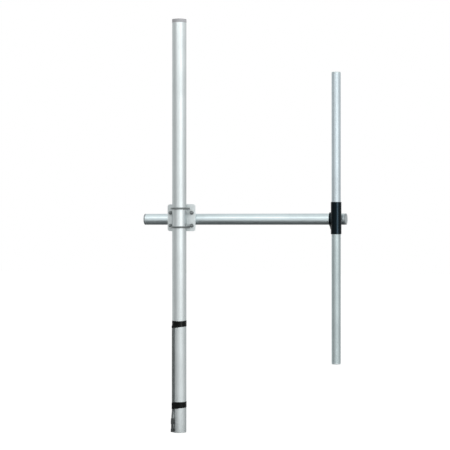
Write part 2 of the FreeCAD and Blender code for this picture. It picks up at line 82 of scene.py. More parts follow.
class TubeFinish(bpy.types.PropertyGroup):
    """Satin drawn aluminium of mast, boom and dipole."""

    mast: colour_setting("Mast", "Clean metal of the mast", (0.645, 0.695, 0.70))
    boom: colour_setting("Boom", "Clean metal of the boom", (0.64, 0.73, 0.75))
    upper_element: colour_setting("Upper element", "Metal of the dipole's upper tube", (0.535, 0.61, 0.645))
    # The lower element is the same tube as the upper one; its darker colour paints in the shade on the
    # dipole's lower half
    lower_element: colour_setting("Lower element", "Metal of the dipole's lower tube, darkened as painted shade", (0.455, 0.53, 0.54))
    oxide: bpy.props.FloatProperty(
        name="Oxide", description="Tone of weathered patches beside clean metal",
        subtype="FACTOR", min=0, max=1, default=0.85,
    )
    roughness: bpy.props.FloatProperty(
        name="Roughness", description="Of the clean metal",
        subtype="FACTOR", min=0, max=1, default=0.38,
    )
    streaks_across: bpy.props.FloatProperty(
        name="Streaks", description="Drawing marks in a metre round the tube",
        min=1, default=420,
    )


class FastenerShape(bpy.types.PropertyGroup):
    """Threads, nuts and screw heads."""

    pitch: length_setting("Pitch", "Of the thread on the U-bolts", 1.0 * MM)
    thread_depth: length_setting("Thread depth", "Crest to root", 0.5 * MM)
    thread_length: length_setting("Thread length", "Of each leg, from its tip", 22 * MM)
    across_flats: length_setting("Across flats", "Of the clamp nuts", 10 * MM)
    saddle_head: length_setting("Saddle screw head", "Diameter", 8.5 * MM)
    element_head: length_setting("Element screw head", "Diameter", 7.5 * MM)
    ridges: bpy.props.IntProperty(
        name="Ridges", description="Knurled ridges round a saddle screw's head",
        min=12, default=30,
    )
    # The zinc is set darker than fresh plating: the dark colour paints in the shade on the U-bolts and nuts
    colour: colour_setting("Zinc", "Zinc plate, darkened as painted shade", (0.22, 0.24, 0.24))


class TapeShape(bpy.types.PropertyGroup):
    """Turns of vinyl tape round mast and feeder."""

    turns: bpy.props.FloatProperty(
        name="Turns", description="From the tape's start to its loose end",
        min=1, default=2.6,
    )
    width: length_setting("Width", "Of the tape on its roll", 18.5 * MM)
    thickness: length_setting("Thickness", "Of one layer", 0.22 * MM)
    layer_pitch: length_setting("Layer pitch", "From one layer to the next", 0.27 * MM)
    loose_lift: length_setting("Loose end", "How far the loose end stands off", 0.9 * MM)
    end_bearing: bpy.props.FloatProperty(
        name="End bearing", description="Where the loose end lies",
        subtype="ANGLE", default=math.radians(-76),
    )
    colour: colour_setting("Vinyl", "Black vinyl", (0.0012, 0.0016, 0.0015))


class MouldedFinish(bpy.types.PropertyGroup):
    """Moulded plastics and the cable's jacket."""

    housing: colour_setting("Housing", "Black of the feed housing", (0.0008, 0.0016, 0.0020))
    cap: colour_setting("Caps", "Silver grey of the dipole's caps", (0.50, 0.57, 0.585))
    # The boom's caps are the same moulding as the dipole's; their darker grey paints in the shade on the end
    # face that the camera sees
    boom_cap: colour_setting("Boom caps", "Grey of the boom's caps, darkened as painted shade", (0.31, 0.345, 0.355))
    mast_cap: colour_setting("Mast cap", "Grey of the mast's cap", (0.38, 0.385, 0.40))
    lip: length_setting("Cap lip", "How far the mast's cap reaches down the tube", 6.5 * MM)
    jacket: colour_setting("Jacket", "Dark grey of the feeder cable", (0.092, 0.104, 0.102))


class StudioSetup(bpy.types.PropertyGroup):
    """Camera, floor and light of the room."""

    azimuth: bpy.props.FloatProperty(
        name="Azimuth", description="Of the camera, from the front",
        subtype="ANGLE", default=math.radians(15),
    )
    distance: length_setting("Distance", "Of the camera", 5.0)
    eye_height: length_setting("Eye height", "Of the level camera", 0.6586)
    aim_right: length_setting("Aim", "Right of the mast's axis", 0.1453)
    focal_length: bpy.props.FloatProperty(
        name="Focal length", description="In millimetres",
        unit="CAMERA", default=125.8,
    )
    floor_height: length_setting("Floor", "Height of the floor", -0.45)
    ambient: bpy.props.FloatProperty(
        name="Ambient", description="Level of the room's diffuse light",
        min=0, default=0.45,
    )


class AntennaSettings(bpy.types.PropertyGroup):
    """All settings of the antenna."""

    tubes: bpy.props.PointerProperty(name="Tubes", description="Metal of the tubes", type=TubeFinish)
    fasteners: bpy.props.PointerProperty(name="Fasteners", description="Bolts and nuts", type=FastenerShape)
    tape: bpy.props.PointerProperty(name="Tape", description="Bands of tape", type=TapeShape)
    moulded: bpy.props.PointerProperty(name="Mouldings", description="Moulded pieces", type=MouldedFinish)
    studio: bpy.props.PointerProperty(name="Studio", description="Camera and room", type=StudioSetup)


# Surfaces on parameter grids
def grid_quads(rows, columns, ring_rows=False):
    """Quads between neighbours of a grid kept row by row.

    The last column is joined to the first, and so is the last row where the rows are a ring.
    """
    row, column = np.meshgrid(np.arange(rows if ring_rows else rows - 1), np.arange(columns), indexing="ij")
    next_row = (row + 1) % rows
    next_column = (column + 1) % columns
    corners = (
        row * columns + column,
        row * columns + next_column,
        next_row * columns + next_column,
        next_row * columns + column,
    )
    return np.stack(corners, axis=-1).reshape(-1, 4)


def around(columns):
    """Even angles round a full turn, one for each column."""
    return np.arange(columns) * FULL_TURN / columns


def turned(heights, radii, columns, hollow=False):
    """A turned form: at height h and angle a the point is (r cos a, r sin a, h).

    There is an r for each row, or for each row and angle. A hollow form's profile is closed.
    """
    angles = around(columns)
    radii = np.broadcast_to(radii, (len(heights), columns))
    level = np.broadcast_to(np.array(heights)[:, None], radii.shape)
    points = np.stack([radii * np.cos(angles), radii * np.sin(angles), level], axis=-1)
    return points, grid_quads(len(heights), columns, ring_rows=hollow)


def rounded_edge(height, radius, bow, steps):
    """Heights and radii on a quarter circle of radius bow, from an outer side up and in to a top."""
    angles = np.linspace(0, QUARTER_TURN, steps)
    return list(zip(height - bow + bow * np.sin(angles), radius - bow + bow * np.cos(angles)))


def hexagon(angles, across_flats):
    """Radius of a hexagon at each angle: half its width over the cosine of the angle to the nearest flat."""
    to_flat = (angles + math.pi / 6) % (math.pi / 3) - math.pi / 6
    return across_flats / 2 / np.cos(to_flat)


def set_down(local, origin, across, along):
    """Local points placed at an origin: x runs across, z runs along, y is the third direction."""
    third = np.cross(along, across)
    return origin + local[..., :1] * across + local[..., 1:2] * third + local[..., 2:] * along


def add_piece(node, ending, surfaces, crease=30):
    """One mesh in place of a node, from several (points, quads) surfaces, in the node's finish.

    Points on one spot are merged, faces are turned outwards, and edges sharper than the crease, in degrees,
    stay sharp.
    """
    merge_distance = 0.002 * MM
    all_points, all_quads = zip(*surfaces)
    starts = np.cumsum([0] + [points.size // 3 for points in all_points[:-1]])
    points = np.concatenate([points.reshape(-1, 3) for points in all_points])
    quads = np.concatenate([quads + start for quads, start in zip(all_quads, starts)])
    mesh = bpy.data.meshes.new(node + ending)
    mesh.from_pydata(points.tolist(), [], quads.tolist())
    shell = bmesh.new()
    shell.from_mesh(mesh)
    bmesh.ops.remove_doubles(shell, verts=shell.verts, dist=merge_distance)
    bmesh.ops.recalc_face_normals(shell, faces=shell.faces)
    shell.to_mesh(mesh)
    shell.free()
    mesh.shade_smooth()
    mesh.set_sharp_from_angle(angle=math.radians(crease))
    mesh.materials.append(finish_of(node))
    piece = bpy.data.objects.new(node + ending, mesh)
    bpy.context.scene.collection.objects.link(piece)
    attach(piece, BODY)
    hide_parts(node)


def corners_of(node):
    """The lowest and the highest corner of a node's box as arrays."""
    low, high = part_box(node)
    return np.array(low), np.array(high)


def points_of(node):
    """All points of a node's mesh as one array."""
    vertices = NODES[node].data.vertices
    points = np.empty(len(vertices) * 3, np.float32)
    vertices.foreach_get("co", points)
    return points.reshape(-1, 3)


# U-bolts with rolled threads
CLAMPS = {
    "mast_clamp": (("upper_mast_u_bolt", "lower_mast_u_bolt"), X, Y),
    "boom_clamp": (("inner_boom_u_bolt", "outer_boom_u_bolt"), Z, -Y),
}


def bolt_layout(node, side, leg):
    """Centre of the bend, bend radius, rod radius and leg length of a U-bolt, from its node's box.

    Its legs stand apart along the direction side and run along the direction leg.
    """
    low, high = corners_of(node)
    middle = (low + high) / 2
    spread = abs(side) @ (high - low)
    rod_r = abs(np.cross(side, leg)) @ (high - low) / 2
    reach = abs(leg) @ (high - low)
    centre = middle + leg * (spread - reach) / 2
    return centre, spread / 2 - rod_r, rod_r, reach - spread / 2


def threaded_u_bolt(node, side, leg, shape):
    """A rod along leg, half circle and leg.

    On the threaded length the rod's radius is its nominal one less the depth times a triangle wave, clipped
    at both ends, of distance over pitch minus angle over a full turn. Each tip has a chamfer and a flat end.
    """
    centre, bend_r, rod_r, leg_length = bolt_layout(node, side, leg)
    columns, plain_stations, bend_stations, stations_per_turn = 28, 5, 33, 8
    chamfer = 0.6 * MM
    run_out = 1.5 * shape.pitch
    flat_share = 0.125
    thread_start = leg_length - shape.thread_length
    turns = shape.thread_length / shape.pitch
    plain = np.linspace(0, thread_start, plain_stations)[:-1]
    threaded = np.linspace(thread_start, leg_length, int(turns * stations_per_turn) + 1)
    run = np.concatenate([plain, threaded, [leg_length]])
    bend = np.linspace(0, math.pi, bend_stations)[1:-1]
    angles = around(columns)

    into_thread = np.clip((run - thread_start) / run_out, 0, 1)[:, None]
    tip_r = rod_r - chamfer + np.clip(leg_length - run, 0, chamfer)
    tip_r[-1] = 0
    leg_radii = []
    for hand in (1, -1):
        wave = np.abs(2 * ((run[:, None] / shape.pitch - hand * angles / FULL_TURN) % 1) - 1)
        groove = np.clip((1 + 2 * flat_share) * wave - flat_share, 0, 1) * into_thread
        leg_radii.append(np.minimum(rod_r - shape.thread_depth * groove, tip_r[:, None]))
    bend_radii = np.full((len(bend), columns), rod_r)

    arc_out = -np.outer(np.cos(bend), side) - np.outer(np.sin(bend), leg)
    first_line = centre - side * bend_r + np.outer(run, leg)
    last_line = centre + side * bend_r + np.outer(run, leg)
    line = np.concatenate([first_line[::-1], centre + arc_out * bend_r, last_line])
    out = np.concatenate([np.tile(-side, (len(run), 1)), arc_out, np.tile(side, (len(run), 1))])
    radii = np.concatenate([leg_radii[0][::-1], bend_radii, leg_radii[1]])[..., None]
    level = np.cross(side, leg)
    ring = out[:, None, :] * np.cos(angles)[:, None] + level * np.sin(angles)[:, None]
    points = line[:, None, :] + radii * ring
    return points, grid_quads(*points.shape[:2])


# Clamp nuts and washers
def clamp_nut(across_flats, height, hole_r, columns=72):
    """A hexagon nut: each row's radius is the hexagon's or the chamfer cone's, whichever is less."""
    chamfer = 0.11 * across_flats
    face_r = 0.475 * across_flats
    cone_slope, cone_steps = 1.9, 5
    countersink = 0.4 * MM
    rise = np.linspace(0, chamfer, cone_steps)
    hole = [(countersink, hole_r), (0, hole_r + countersink)]
    past_cone = (1.02 * chamfer, across_flats)
    lower = [*hole, *zip(rise, face_r + rise * cone_slope), past_cone]
    upper = [(height - z, r) for z, r in reversed(lower)]
    heights, limits = np.array(lower + upper).T
    hexagonal = hexagon(around(columns), across_flats)
    return turned(heights, np.minimum(hexagonal, limits[:, None]), columns, hollow=True)


def flat_washer(outer_r, hole_r, thickness, columns=64):
    """A stamped ring, turned from a rectangle with small bevels and a rounded outer upper corner."""
    burr = 0.15 * MM
    roll = 0.45 * MM
    rows = [(burr, hole_r), (0, hole_r + burr), (0, outer_r - burr), (burr, outer_r)]
    rows += rounded_edge(thickness, outer_r, roll, steps=5)
    rows += [(thickness, hole_r + burr), (thickness - burr, hole_r)]
    heights, radii = np.array(rows).T
    return turned(heights, radii[:, None], columns, hollow=True)


def split_washer(outer_r, hole_r, thickness, slit, stations=61):
    """A bevelled square section carried from one side of a slit round to the other.

    Each end is closed by a last section that is drawn together in its middle.
    """
    bevel = 0.2 * MM
    middle_r = (outer_r + hole_r) / 2
    underside = [(hole_r, bevel), (hole_r + bevel, 0), (outer_r - bevel, 0), (outer_r, bevel)]
    section = underside + [(radius, thickness - height) for radius, height in reversed(underside)]
    end = np.tile((middle_r, thickness / 2), (1, len(section), 1))
    sections = np.concatenate([end, np.tile(section, (stations, 1, 1)), end])
    half_gap = slit / 2 / middle_r
    angles = np.linspace(half_gap, FULL_TURN - half_gap, stations)
    turn = np.concatenate([angles[:1], angles, angles[-1:]])[:, None]
    radii, heights = sections[..., 0], sections[..., 1]
    points = np.stack([radii * np.cos(turn), radii * np.sin(turn), heights], axis=-1)
    return points, grid_quads(*points.shape[:2])


def leg_places(nodes, side, leg):
    """The (x, z) places of both legs of each U-bolt."""
    places = []
    for node in nodes:
        centre, bend_r = bolt_layout(node, side, leg)[:2]
        places += [(centre + hand * side * bend_r)[[0, 2]] for hand in (-1, 1)]
    return places


def on_legs(surface, places, y_face, along):
    """Copies of a surface on all legs, seated on a face and each turned a step further than the last."""
    points, quads = surface
    turn_step = 0.42
    copies = []
    for number, (x, z) in enumerate(places):
        angle = turn_step * number
        across = X * math.cos(angle) + Z * math.sin(angle)
        copies.append((set_down(points, np.array([x, y_face, z]), across, along), quads))
    return copies


# Screws of the saddle and the elements
SCREWS = {
    "saddle_screws": dict(head_height=5.0 * MM, shank_r=2.5 * MM, key=4.0 * MM, crown=0.8 * MM),
    "element_screws": dict(head_height=2.8 * MM, shank_r=2.0 * MM, key=2.5 * MM, crown=1.4 * MM),
}


def socket_screw(head_r, ridges, shank_length, head_height, shank_r, key, crown, columns=120):
    """A socket-head screw along z, head above z = 0.

    Each row has a height, a radius and a share of ridges, which take off a depth times one minus the cosine
    of their number times the angle. In the rows marked 1 the key's hexagon takes over from the circle.
    """
    ridge_depth = 0.12 * MM
    tip = 0.5 * MM
    rim = 0.2 * MM
    key_depth = 0.5 * head_height
    key_corner_r = key / math.sqrt(3)
    crown_steps = 6
    ridged = 1.0 if ridges else 0.0
    fading = ridged * np.cos(np.linspace(0, QUARTER_TURN, crown_steps))
    dome = rounded_edge(head_height, head_r, crown, crown_steps)
    rows = [
        (-shank_length, 0, 0, 0),
        (-shank_length, shank_r - tip, 0, 0),
        (tip - shank_length, shank_r, 0, 0),
        (0, shank_r, 0, 0),
        (0, head_r - rim, 0, 0),
        (rim, head_r, ridged, 0),
        *((height, radius, share, 0) for (height, radius), share in zip(dome, fading)),
        (head_height, key_corner_r + rim, 0, 0),
        (head_height - rim, key / 2, 0, 1),
        (head_height - key_depth, key / 2, 0, 1),
        (head_height - key_depth - rim, 0, 0, 0),
    ]
    heights, radii, ridge_share, in_key = np.array(rows).T
    angles = around(columns)
    round_r = radii[:, None] + ridge_depth * ridge_share[:, None] * (np.cos(ridges * angles) - 1)
    return turned(heights, np.where(in_key[:, None] > 0, hexagon(angles, key), round_r), columns)


# Cap of the mast
def lipped_cap(node, tube, lip, columns=128):
    """A push-in cap with a thin lip outside the tube, turned from one profile.

    From the middle of its underside the profile runs down inside the hollow plug and up over three barbs,
    across the tube's end, down inside the lip and up outside it, round the rim by a quarter circle, and to
    the middle of a top that rises by a crown times one minus the square of the radius.
    """
    low, high = corners_of(node)
    seat = corners_of(tube)[1][2]
    tube_r = (high - low)[0] / 2
    foot_slice, below_seat = 0.1 * MM, 1.0 * MM
    barb_pitch, barb_height, crest_share = 4.0 * MM, 1.5 * MM, 0.8
    gap, wall, bevel, rim, crown = 0.04 * MM, 0.45 * MM, 0.2 * MM, 1.2 * MM, 0.5 * MM
    points = points_of(node)
    radii = np.hypot(points[:, 0], points[:, 1])
    foot = radii[points[:, 2] < low[2] + foot_slice]
    bore_r, plug_r = foot.min(), foot.max()
    barb_r = radii[points[:, 2] < seat - below_seat].max()
    outer_r = tube_r + wall
    top_steps = 7

    rows = [(seat, 0), (seat, bore_r), (low[2], bore_r), (low[2], plug_r)]
    for barb in (3, 2, 1):
        start = seat - barb * barb_pitch
        rows += [(start, plug_r), (start + crest_share * barb_height, barb_r), (start + barb_height, plug_r)]
    rows += [(seat, plug_r), (seat, tube_r + gap), (seat - lip, tube_r + gap)]
    rows += [(seat - lip, outer_r - bevel), (seat - lip + bevel, outer_r)]
    rows += rounded_edge(high[2] - crown, outer_r, rim, top_steps)
    inward = np.linspace(1, 0, top_steps)[1:]
    rows += zip(high[2] - crown * inward**2, (outer_r - rim) * inward)
    heights, profile = np.array(rows).T
    return turned(heights, profile[:, None], columns)


# Turns of tape
def strapped_radius(angles, tube_r, bearing, distance, cord_r):
    """Radius of a band pulled tight round a tube and a cord beside it, at each angle from the tube's axis.

    A tangent line at heading f stands off by the larger of the tube's radius and distance times the cosine
    from bearing to f plus the cord's radius. The band's radius at an angle is the least, over all headings,
    of that stand-off over the cosine between angle and heading.
    """
    headings = around(columns=720)
    least_cosine = 0.2
    stand_off = np.maximum(tube_r, distance[..., None] * np.cos(headings - bearing) + cord_r)
    between = np.cos(angles[..., None] - headings)
    reach = np.where(between > least_cosine, stand_off / np.maximum(between, least_cosine), np.inf)
    return np.min(reach, axis=-1)


def feeder_beside(node):
    """Centre of the feeder beside the mast, from its lowest ring of points between the tapes."""
    ring_height = 0.5 * MM
    points = points_of(node)
    heights = points[:, 2]
    between = (heights > corners_of("lower_tape")[1][2]) & (heights < corners_of("upper_tape")[0][2])
    ring = points[between & (heights < heights[between].min() + ring_height), :2]
    return (ring.min(axis=0) + ring.max(axis=0)) / 2


def creases(angle, across, seed):
    """Height of a strip's creases: a product of two slanted sine waves, and a third, closer sine wave."""
    fold_depth, ripple_depth = 0.05 * MM, 0.04 * MM
    folds = np.sin(11 * angle + 9 * across + seed) * np.sin(5 * angle - 14 * across)
    ripples = np.sin(29 * angle + 4 * across + 3 * seed)
    return fold_depth * folds + ripple_depth * ripples


def wound_tape(node, shape, seed, leaves_at=0.0, slope=0.0):
    """A strip of tape wound round mast and feeder.

    Along the strip the angle grows evenly to the loose end, which an eighth power sets at a slant, and the
    radius by one layer a turn. The layers share their upper edge, which sways by two sines. Below they fan
    out by half of one minus the cosine of the angle from the right-hand side. The loose end lifts with the
    square of its length, and the strip thins to nothing at both ends, which closes it. Above the height
    leaves_at the feeder lies further in, by a slope, where it goes into the mast.
    """
    low, high = corners_of(node)
    mast_low, mast_high = corners_of("mast_tube")
    mast_r = (mast_high - mast_low)[0] / 2
    feeder = feeder_beside("feeder_cable")
    feeder_r = 3.0 * MM
    feeder_bearing = math.atan2(feeder[1], feeder[0])
    right_side = math.radians(15)
    stations, rows_across = 520, 9
    end_slant, loose_share, closing_share = 0.10, 0.035, 0.002
    broad_sway, close_sway = 0.35 * MM, 0.25 * MM
    edge_inset, mast_gap = 0.3 * MM, 0.08 * MM
    across = np.linspace(-0.5, 0.5, rows_across)
    share = np.linspace(0, 1, stations)[:, None]
    slant = end_slant * across * share**8
    angle = shape.end_bearing - FULL_TURN * shape.turns * (1 - share) + slant
    layer = shape.turns * share
    fan = 0.5 - 0.5 * np.cos(angle - right_side)
    drop = (high[2] - low[2] - shape.width) * share * fan
    sway = broad_sway * np.sin(angle * 2 + seed) + close_sway * np.sin(angle * 3 + 2.1 * seed + layer)
    height = high[2] - edge_inset - shape.width * (0.5 - across) - drop + sway

    distance = np.hypot(*feeder) - slope * np.maximum(0, height - leaves_at)
    outline = strapped_radius(angle, mast_r, feeder_bearing, distance, feeder_r)
    lift = shape.loose_lift * np.clip((share - (1 - loose_share)) / loose_share, 0, 1) ** 2
    inner = outline + mast_gap + shape.layer_pitch * layer + creases(angle, across, seed) + lift
    outer = inner + shape.thickness * np.clip(np.minimum(share, 1 - share) / closing_share, 0, 1)

    radius = np.concatenate([outer, inner[:, ::-1]], axis=1)
    angle = np.concatenate([angle, angle[:, ::-1]], axis=1)
    height = np.concatenate([height, height[:, ::-1]], axis=1)
    points = np.stack([radius * np.cos(angle), radius * np.sin(angle), height], axis=-1)
    return points, grid_quads(*points.shape[:2])


# Node trees
class Tree:
    """A node tree with short ways to add nodes."""

    def __init__(self, tree):
        self.tree = tree

    def feed(self, node, inputs):
        """Feeds a node's inputs: one given as a socket is wired, any other is set."""
        for name, value in inputs.items():
            if isinstance(value, bpy.types.NodeSocket):
                self.tree.links.new(value, node.inputs[name])
            else:
                node.inputs[name].default_value = value

    def add(self, kind, inputs=None, **settings):
        """A new node with its settings and inputs."""
        node = self.tree.nodes.new(kind)
        for name, value in settings.items():
            setattr(node, name, value)
        self.feed(node, inputs or {})
        return node

    def group(self, make, vector, **inputs):
        """The outputs of a node group placed in this tree."""
        return self.add("ShaderNodeGroup", {"Vector": vector, **inputs}, node_tree=make()).outputs

    def noise(self, vector, scale, detail=3.0):
        inputs = {"Vector": vector, "Scale": scale, "Detail": detail}
        return self.add("ShaderNodeTexNoise", inputs).outputs[0]

    def map_range(self, value, low=0.0, high=1.0, to_low=0.0, to_high=1.0):
        inputs = {"Value": value, "From Min": low, "From Max": high, "To Min": to_low, "To Max": to_high}
        return self.add("ShaderNodeMapRange", inputs).outputs[0]

    def math(self, operation, first, second):
        return self.add("ShaderNodeMath", {0: first, 1: second}, operation=operation).outputs[0]

    def mix(self, factor, first, second):
        return self.add("ShaderNodeMix", {0: factor, 6: first, 7: second}, data_type="RGBA").outputs[2]

    def tint(self, colour, mask, other, share):
        """A colour that goes over into another one by a share of a mask."""
        return self.mix(self.math("MULTIPLY", mask, share), colour, other)

    def gloss(self, noise, smooth, rough):
        """A roughness between two values, spread over the usual span of a noise."""
        return self.map_range(noise, low=0.3, high=0.7, to_low=smooth, to_high=rough)

    def bump(self, height, strength, distance):
        inputs = {"Height": height, "Strength": strength, "Distance": distance}
        return self.add("ShaderNodeBump", inputs).outputs["Normal"]


def shared_group(name, inputs, outputs):
    """Turns a function that fills a node group into one that gives the group, built the first time."""

    def wrap(fill):
        @functools.wraps(fill)
        def group():
            if name not in bpy.data.node_groups:
                made = bpy.data.node_groups.new(name, "ShaderNodeTree")
                for way, sockets in (("INPUT", inputs), ("OUTPUT", outputs)):
                    for socket in sockets:
                        kind = "NodeSocketVector" if socket == "Vector" else "NodeSocketFloat"
                        made.interface.new_socket(name=socket, in_out=way, socket_type=kind)
                tree = Tree(made)
                given = tree.add("NodeGroupInput").outputs
                tree.add("NodeGroupOutput", fill(tree, given))
            return bpy.data.node_groups[name]

        return group

    return wrap


@shared_group("Drawn streaks", ("Vector", "Across"), ("Coarse", "Fine"))
def drawn_streaks(tree, given):
    """Marks of the drawing die: noise stretched along z, in a coarse and a fine layer."""
    along = 2.5
    layers = {}
    for layer, times in (("Coarse", 1.0), ("Fine", 4.5)):
        across = tree.math("MULTIPLY", given["Across"], times)
        stretch = tree.add("ShaderNodeCombineXYZ", {"X": across, "Y": across, "Z": along * times}).outputs[0]
        placed = tree.add("ShaderNodeVectorMath", {0: given["Vector"], 1: stretch}, operation="MULTIPLY")
        layers[layer] = tree.noise(placed.outputs[0], scale=1.0)
    return layers


@shared_group("Oxide bloom", ("Vector", "Scale"), ("Patches", "Specks"))
def oxide_bloom(tree, given):
    """Soft patches of oxide and sparse small specks: two noises, the second cut off high."""
    patches = tree.noise(given["Vector"], given["Scale"], detail=5.0)
    speck_scale = tree.math("MULTIPLY", given["Scale"], 26.0)
    specks = tree.noise(given["Vector"], speck_scale, detail=2.0)
    return {
        "Patches": tree.map_range(patches, low=0.38, high=0.68),
        "Specks": tree.map_range(specks, low=0.62, high=0.78),
    }


@shared_group("Edge wear", ("Vector", "Radius"), ("Wear",))
def edge_wear(tree, given):
    """Rubbed edges: how far a rounded-off normal leans from the true one, broken up by noise."""
    rounded = tree.add("ShaderNodeBevel", {"Radius": given["Radius"]}, samples=6).outputs[0]
    true = tree.add("ShaderNodeNewGeometry").outputs["Normal"]
    agree = tree.add("ShaderNodeVectorMath", {0: rounded, 1: true}, operation="DOT_PRODUCT")
    lean = tree.map_range(agree.outputs["Value"], low=0.995, high=0.80)
    noise = tree.noise(given["Vector"], scale=700.0)
    broken = tree.map_range(noise, low=0.35, high=0.6, to_low=0.15)
    return {"Wear": tree.math("MULTIPLY", lean, broken)}


@shared_group("Fine grain", ("Vector", "Scale"), ("Height", "Mottle"))
def fine_grain(tree, given):
    """Fine moulded or plated grain: a close noise as a height, and a broad one as a mottle."""
    height = tree.noise(given["Vector"], given["Scale"], detail=2.0)
    mottle_scale = tree.math("MULTIPLY", given["Scale"], 0.06)
    return {"Height": height, "Mottle": tree.noise(given["Vector"], mottle_scale, detail=4.0)}


@shared_group("Settled dust", ("Vector", "Amount"), ("Dust",))
def settled_dust(tree, given):
    """Dust on what faces up: the normal's height, broken up by noise."""
    normal = tree.add("ShaderNodeNewGeometry").outputs["Normal"]
    upward = tree.add("ShaderNodeSeparateXYZ", {0: normal}).outputs["Z"]
    lying = tree.map_range(upward, low=0.1, to_low=0.12)
    noise = tree.noise(given["Vector"], scale=160.0, detail=5.0)
    broken = tree.map_range(noise, low=0.42, high=0.72)
    return {"Dust": tree.math("MULTIPLY", tree.math("MULTIPLY", lying, broken), given["Amount"])}


# Finishes
def new_material(name):
    """A material with a Principled shader, its tree helper and the object's own coordinates."""
    material = bpy.data.materials.new(name)
    material.use_nodes = True
    tree = Tree(material.node_tree)
    shader = material.node_tree.nodes["Principled BSDF"]
    place = tree.add("ShaderNodeTexCoord").outputs["Object"]
    return material, tree, shader, place


def opaque(colour):
    """A colour with full alpha."""
    return (*colour, 1.0)


def grey(level):
    """An opaque grey."""
    return (level, level, level, 1.0)


def shade(colour, times):
    """An opaque colour made lighter or darker."""
    return opaque(min(1.0, part * times) for part in colour)


def drawn_aluminium(name, metal, finish, lying=False):
    """Satin tube: streaks along its length, soft oxide patches, a few specks. A lying tube runs along x."""
    material, tree, shader, place = new_material(name)
    turn = (0, QUARTER_TURN, 0) if lying else (0, 0, 0)
    weathered = shade(metal, finish.oxide)
    spotted = shade(metal, 0.62 * finish.oxide)
    along = tree.add("ShaderNodeMapping", {"Vector": place, "Rotation": turn}).outputs[0]
    streaks = tree.group(drawn_streaks, along, Across=finish.streaks_across)
    oxide = tree.group(oxide_bloom, along, Scale=11.0)
    colour = tree.mix(streaks["Coarse"], shade(metal, 0.94), shade(metal, 1.05))
    colour = tree.tint(colour, oxide["Patches"], weathered, share=0.55)
    colour = tree.tint(colour, oxide["Specks"], spotted, share=0.35)
    satin = tree.gloss(streaks["Fine"], smooth=finish.roughness - 0.03, rough=finish.roughness + 0.05)
    dulled = tree.math("MULTIPLY", oxide["Patches"], 0.06)
    roughness = tree.math("ADD", satin, dulled)
    deep_marks = tree.math("MULTIPLY", streaks["Coarse"], 0.6)
    grain = tree.math("ADD", streaks["Fine"], deep_marks)
    normal = tree.bump(grain, strength=0.12, distance=0.05 * MM)
    tree.feed(shader, {"Base Color": colour, "Metallic": 1.0, "Roughness": roughness, "Normal": normal})
    tree.feed(shader, {"Specular Tint": grey(0.5)})
    return material


def mast_metal(settings):
    return drawn_aluminium("Drawn aluminium mast", settings.tubes.mast, settings.tubes)


def boom_metal(settings):
    return drawn_aluminium("Drawn aluminium boom", settings.tubes.boom, settings.tubes, lying=True)


def upper_element_metal(settings):
    return drawn_aluminium("Drawn aluminium upper element", settings.tubes.upper_element, settings.tubes)


# A darker copy of the element metal: painted shade on the lower element
def lower_element_shaded_metal(settings):
    return drawn_aluminium("Drawn aluminium lower element, darkened as painted shade", settings.tubes.lower_element, settings.tubes)


def mill_plate(settings):
    """Rolled plate: streaks across the plate, brighter rubbed edges and dull patches."""
    material, tree, shader, place = new_material("Mill finish plate")
    metal = settings.tubes.mast
    rolled = tree.add("ShaderNodeMapping", {"Vector": place, "Rotation": (0, QUARTER_TURN, 0)}).outputs[0]
    streaks = tree.group(drawn_streaks, rolled, Across=520.0)
    oxide = tree.group(oxide_bloom, place, Scale=34.0)
    wear = tree.group(edge_wear, place, Radius=0.9 * MM)
    colour = tree.mix(streaks["Coarse"], shade(metal, 1.06), shade(metal, 1.22))
    colour = tree.tint(colour, oxide["Patches"], shade(metal, 0.96), share=0.5)
    colour = tree.mix(wear["Wear"], colour, shade(metal, 1.25))
    roughness = tree.map_range(oxide["Patches"], to_low=0.50, to_high=0.60)
    metallic = tree.map_range(oxide["Patches"], to_low=0.35, to_high=0.15)
    normal = tree.bump(streaks["Fine"], strength=0.2, distance=0.05 * MM)
    tree.feed(shader, {"Base Color": colour, "Metallic": metallic, "Roughness": roughness, "Normal": normal})
    return material


def zinc_plate(settings):
    """Zinc-plated steel: fine spangle, duller patches, bright rubbed edges and dark specks."""
    material, tree, shader, place = new_material("Zinc plate, darkened as painted shade")
    metal = settings.fasteners.colour
    grain = tree.group(fine_grain, place, Scale=1500.0)
    oxide = tree.group(oxide_bloom, place, Scale=90.0)
    wear = tree.group(edge_wear, place, Radius=0.35 * MM)
    # The zinc colour is darker than fresh plating, as painted shade on the U-bolts and nuts
    colour = tree.mix(grain["Mottle"], shade(metal, 0.8), shade(metal, 1.15))
    colour = tree.tint(colour, oxide["Specks"], shade(metal, 0.5), share=0.6)
    colour = tree.mix(wear["Wear"], colour, shade(metal, 1.6))
    roughness = tree.map_range(oxide["Patches"], to_low=0.30, to_high=0.46)
    normal = tree.bump(grain["Height"], strength=0.12, distance=0.05 * MM)
    tree.feed(shader, {"Base Color": colour, "Metallic": 1.0, "Roughness": roughness, "Normal": normal})
    return material


